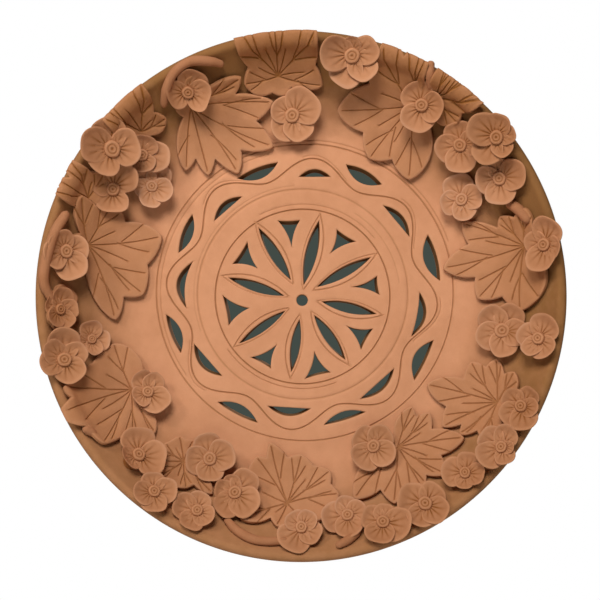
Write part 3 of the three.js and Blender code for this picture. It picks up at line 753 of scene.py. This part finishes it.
def petal(size, heading, reach, gap, stacked, hand, free):
    """One pinched petal in its flower's own axes: rows from the throat over the rim to the throat
    underneath, the two points that close them, and the rows' painted shade and highlight. Its edge is
    a wobbling superellipse.
    Its height is a shallow bowl over the whole flower, a cup of its own, and what it is stacked up by.
    Its right and left sides cup up where they are free, and lie flat where a neighbour covers them.
    Ribs fan out from the throat, 26 degrees apart. The hand's four numbers, from -1 to 1, vary its
    width, its wobble and ribs, its wobble and lean, and its cup."""
    width = reach * np.clip(0.57 + 0.004 * (gap - 80), 0.53, 0.7) * (1 + 0.04 * hand[0])
    half = (reach + 0.08 * size) / 2
    centre = reach - half
    throat = 0.14 * size
    turn = np.linspace(0, 2 * np.pi, 64, endpoint=False)
    wobble = 1 + 0.025 * np.sin(3 * turn + 6 * hand[1]) + 0.018 * np.sin(5 * turn + 6 * hand[2])
    squarer = (np.abs(np.cos(turn)) ** 2.3 + np.abs(np.sin(turn)) ** 2.3) ** (-1 / 2.3)
    edge = np.stack([half * np.cos(turn), width * np.sin(turn)], -1) * (wobble * squarer)[:, None]
    edge[:, 0] += centre
    start = np.array([throat, 0])
    flat = start + petal_shares[..., None] * (edge - start)
    flat[..., 1] *= 1 - 0.3 * np.clip((centre - flat[..., 0]) / half, 0, 1) ** 2
    u, v = flat[..., 0], flat[..., 1]
    from_throat = np.degrees(np.arctan2(v, u - throat))
    rib = np.exp(-(((from_throat + 11 * hand[1]) % 26 - 13) / 4.4) ** 2)
    rib *= np.clip(1.7 - 2 * petal_shares, 0, 1) * (petal_levels > 0.9)
    outer = np.clip((u / size - 0.2) / 0.5, 0, 1)
    side_cup = np.where(v < 0, *free) * (v / width) ** 2
    own_cup = 2.1 * (1 + 0.5 * hand[3]) * (((u - centre) / half) ** 2 + side_cup) - 0.9
    middle = 0.24 * size * ((u**2 + v**2) / size**2) + (own_cup + stacked) * outer
    middle += 0.4 * np.sign(hand[2]) * v / width
    half_thick = 1.1 - 0.25 * petal_shares
    height = middle + petal_levels * half_thick - 0.6 * rib
    # Painted highlight along the rim; painted shade in the ribs, toward the throat and underneath.
    painted_light_and_tone = 0.26 * np.exp(-((petal_shares - 0.94) / 0.07) ** 2) - 0.7 * rib
    painted_light_and_tone = painted_light_and_tone - 0.35 * np.clip(1 - petal_shares / 0.5, 0, 1) - 0.3 * (petal_levels < 0)
    ways = at([heading, heading + 90], 1)
    rows = np.concatenate([flat @ ways, height[..., None]], -1)
    ends = [np.array([*(throat * ways[0]), row[:, 2].mean()]) for row in (rows[0], rows[-1])]
    return rows, ends, painted_light_and_tone


most_forward = 77.5


def laid_clear(points, room):
    """Petal points brought forward to keep their room in mm from the dish, more over a stem, and held
    back where they would pass the most forward depth. Both ease in over a few mm."""
    plan = points[..., ::2].reshape(-1, 2)
    radius = np.hypot(*plan.T).reshape(points.shape[:-1])
    depth, _ = dish_front(radius)
    stem_gap = nearest(plan, np.concatenate(stem_lines)).reshape(radius.shape)
    short = depth + room + 4.6 * np.exp(-((stem_gap / 5) ** 2)) + points[..., 1]
    y = points[..., 1] - (short + np.hypot(short, 3)) / 2 * np.clip((207 - radius) / 9, 0, 1)
    over = -most_forward - y
    return np.stack([points[..., 0], y + 0.3 * (over + np.hypot(over, 2)), points[..., 2]], -1)


def flower_frame(spot, tilt, raised):
    """A flower's middle, straight out from the dish, and its own axes as rows: right, up and the way
    it faces, which is tilted from straight forward toward the dish's axis."""
    plan_spot = at(*spot)
    depth, _ = dish_front(np.array(float(spot[1])))
    lean = np.radians(tilt)
    inward = -plan_spot / np.hypot(*plan_spot)
    facing = np.array([inward[0] * np.sin(lean), -np.cos(lean), inward[1] * np.sin(lean)])
    right = np.array([1.0, 0, 0]) - facing * facing[0]
    right /= np.linalg.norm(right)
    centre = np.array([plan_spot[0], -depth - raised, plan_spot[1]])
    return centre, np.stack([right, np.cross(facing, right), facing])


def pinched_petals(number, petals, size, centre, axes):
    """A flower's petals, each as its points, groups of faces and painted shade and highlight. A petal is
    stacked 0.95 mm over the one before it, with 0.8 mm more room from the dish, and a wide gap between
    its neighbours lets it be wider."""
    rng = np.random.default_rng(100 + number)
    laid = [heading for heading, _ in petals]
    headings = sorted(laid)
    bodies = []
    for layer, (heading, reach) in enumerate(petals):
        i = headings.index(heading)
        before, after = headings[i - 1], headings[(i + 1) % len(headings)]
        gap = (after - before) % 360 / 2
        free = [float(laid.index(other) < layer) for other in (before, after)]
        stacked = 0.95 * (layer - len(petals) / 2 + 0.5)
        rows, ends, painted_light_and_tone = petal(size, heading, reach, gap, stacked, rng.uniform(-1, 1, 4), free)
        rows = laid_clear(centre + rows @ axes, 1.9 + 0.8 * layer + 0.9 * petal_levels)
        points, sides, tips = closed_rows(rows, *(centre + end @ axes for end in ends))
        # The two points that close each petal at the throat get painted shade.
        bodies.append((points, [sides, tips], np.concatenate([painted_light_and_tone.ravel(), [-0.9, -0.3]])))
    return bodies


# The button and its neck: the button's profile as (share of its radius, height in mm) from the pit in
# its middle outwards, and the painted light at given shares: painted shade below 0, in the pit, the
# stamped ring and under the button's edge, and a painted highlight above 0 on its raised parts.
button_profile = np.array([
    (0.10, -0.55), (0.18, -0.12), (0.34, 0.0), (0.44, -0.04), (0.50, -0.35), (0.56, -0.38), (0.62, -0.05),
    (0.74, -0.02), (0.86, -0.22), (0.95, -0.65), (1.0, -1.2), (1.02, -2.4), (1.06, -3.3), (1.2, -4.6),
])
button_painted_light_shares = (0.1, 0.2, 0.34, 0.5, 0.56, 0.64, 0.8, 0.9, 1.0, 1.06, 1.2)
button_painted_light = (-0.6, -0.2, 0.1, -0.5, -0.5, 0.1, 0.15, 0.2, -0.3, -0.8, -0.8)
button_share, neck_share, foot_share = 0.28, 0.5, 0.38
button_top, pit_bottom, neck_height, smeared = 3.7, 3.0, -2.6, 0.4
around = 48


def stamped_button(number, size, foot, centre, axes):
    """A flower's button and the neck of clay under it, as points, groups of faces and painted shade and
    highlight: the turned profile, a ring for the neck, and a ring smeared on to the dish round the foot."""
    turns = np.linspace(0, 2 * np.pi, around, endpoint=False)
    lumpy = 1 + 0.03 * np.sin(2 * turns + number) + 0.02 * np.sin(5 * turns)
    reach = button_profile[:, 0, None] * button_share * size * lumpy
    reach = np.concatenate([reach, np.full((1, around), neck_share * size)])
    height = np.append(button_profile[:, 1] + button_top, neck_height)[:, None]
    rows = np.stack([reach * np.cos(turns), reach * np.sin(turns), height + 0 * turns], -1)
    foot_row = on_dish(foot + at(np.degrees(turns), foot_share * size), np.full(around, smeared))
    rows = np.concatenate([centre + rows @ axes, [foot_row]])
    points, sides, tips = closed_rows(rows, centre + pit_bottom * axes[2], on_dish(foot, smeared))
    # Painted shade on the neck and the foot, and most of all at the bottom of the pit.
    painted_light_and_tone = [*np.interp(button_profile[:, 0], button_painted_light_shares, button_painted_light), -0.6, -0.6]
    return points, [sides, tips], np.concatenate([np.repeat(painted_light_and_tone, around), [-1, -0.6]])


for number, (spot, tilt, raised, petals) in enumerate(flowers):
    size = np.mean([reach for _, reach in petals])
    centre, axes = flower_frame(spot, tilt, raised)
    foot_radius = min(spot[1] + raised * np.sin(np.radians(tilt)), wall_end - foot_share * size)
    bodies = pinched_petals(number, petals, size, centre, axes)
    bodies.append(stamped_button(number, size, at(spot[0], foot_radius), centre, axes))
    starts = np.cumsum([0] + [len(points) for points, _, _ in bodies])
    points = np.concatenate([points for points, _, _ in bodies])
    faces = [start + group for start, (_, groups, _) in zip(starts, bodies) for group in groups]
    # Painted shade: each flower darkens the further up the wall it stands; the sine gives each flower a
    # tone of its own.
    painted_shade_up_the_wall = np.clip((np.hypot(points[:, 0], points[:, 2]) - 150) / 40, 0, 1)
    darker = 0.35 * painted_shade_up_the_wall + 0.12 * np.sin(2.4 * number)
    painted_light_and_tone = np.concatenate([painted_light_and_tone for _, _, painted_light_and_tone in bodies]) - darker
    flower = clay_piece(f"pinched_flower_{number + 1:02}", points, faces, painted_light_and_tone, sharp=60)
    flower.data.materials.append(flower_clay)
    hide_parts(f"flower_{number + 1:02}")

# ---------------------------------------------------------------------------------------------
# The studio: a plain pale floor below the plaque, a soft light in front of it, weaker ones from the
# upper left and behind, and a white room with a dark doorway straight behind the plaque.
floor_level = -0.45
floor_corners = ((-1.6, -2.2), (1.6, -2.2), (1.6, 0.55), (-1.6, 0.55))
floor_mesh = bpy.data.meshes.new("pale_floor")
floor_mesh.from_pydata([(*corner, floor_level) for corner in floor_corners], [], [(0, 1, 2, 3)])
floor = bpy.data.objects.new("pale_floor", floor_mesh)
bpy.context.scene.collection.objects.link(floor)
floor_paint = bpy.data.materials.new("pale floor")
floor_paint.use_nodes = True
painted = floor_paint.node_tree.nodes["Principled BSDF"]
painted.inputs["Base Color"].default_value = (0.8, 0.79, 0.77, 1)
painted.inputs["Roughness"].default_value = 0.8
floor_mesh.materials.append(floor_paint)

plaque_middle = Vector((0, -0.05, -0.076))


def soft_light(name, place, size, watts):
    """A square area light at a place in metres, turned toward the middle of the plaque."""
    light = bpy.data.lights.new(name, "AREA")
    light.size, light.energy = size, watts
    lamp = bpy.data.objects.new(name, light)
    lamp.location = place
    lamp.rotation_euler = (plaque_middle - Vector(place)).to_track_quat("-Z", "Y").to_euler()
    bpy.context.scene.collection.objects.link(lamp)


soft_light("front_light", (-0.14, -1.2, 0.7), 0.5, 15)
soft_light("side_light", (-1.0, -1.1, 0.75), 0.3, 7)
soft_light("back_light", (0.9, 1.5, 0.8), 0.8, 14)

# The room gives the clay a weak even light, and is seen as white, or as dark inside the doorway.
room = bpy.data.worlds.new("white_room")
bpy.context.scene.world = room
room.use_nodes = True
tree = room.node_tree
doorway_middle = Vector((-0.018, 0.939, 0.065)).normalized()
doorway_half_width = np.radians(9.2)
seen = Shade.node(tree, "LightPath", {}, {}, "Is Camera Ray")
way = Shade.node(tree, "TexCoord", {}, {}, "Generated")
toward = Shade.node(tree, "VectorMath", {"operation": "DOT_PRODUCT"}, {0: way, 1: doorway_middle}, "Value")
weak = Shade.node(tree, "Background", {}, {"Color": (1, 0.985, 0.96, 1), "Strength": 0.04}, "Background")
white = Shade.node(tree, "Background", {}, {"Color": (1, 1, 1, 1)}, "Background")
dark = Shade.node(tree, "Background", {}, {"Color": (0.056, 0.07, 0.06, 1)}, "Background")
in_doorway = toward > np.cos(doorway_half_width)
behind = Shade.node(tree, "MixShader", {}, {0: in_doorway, 1: white, 2: dark}, "Shader")
surroundings = Shade.node(tree, "MixShader", {}, {0: seen, 1: weak, 2: behind}, "Shader")
tree.links.new(surroundings.socket, tree.nodes["World Output"].inputs["Surface"])
bpy.context.scene.view_settings.view_transform = "Standard"
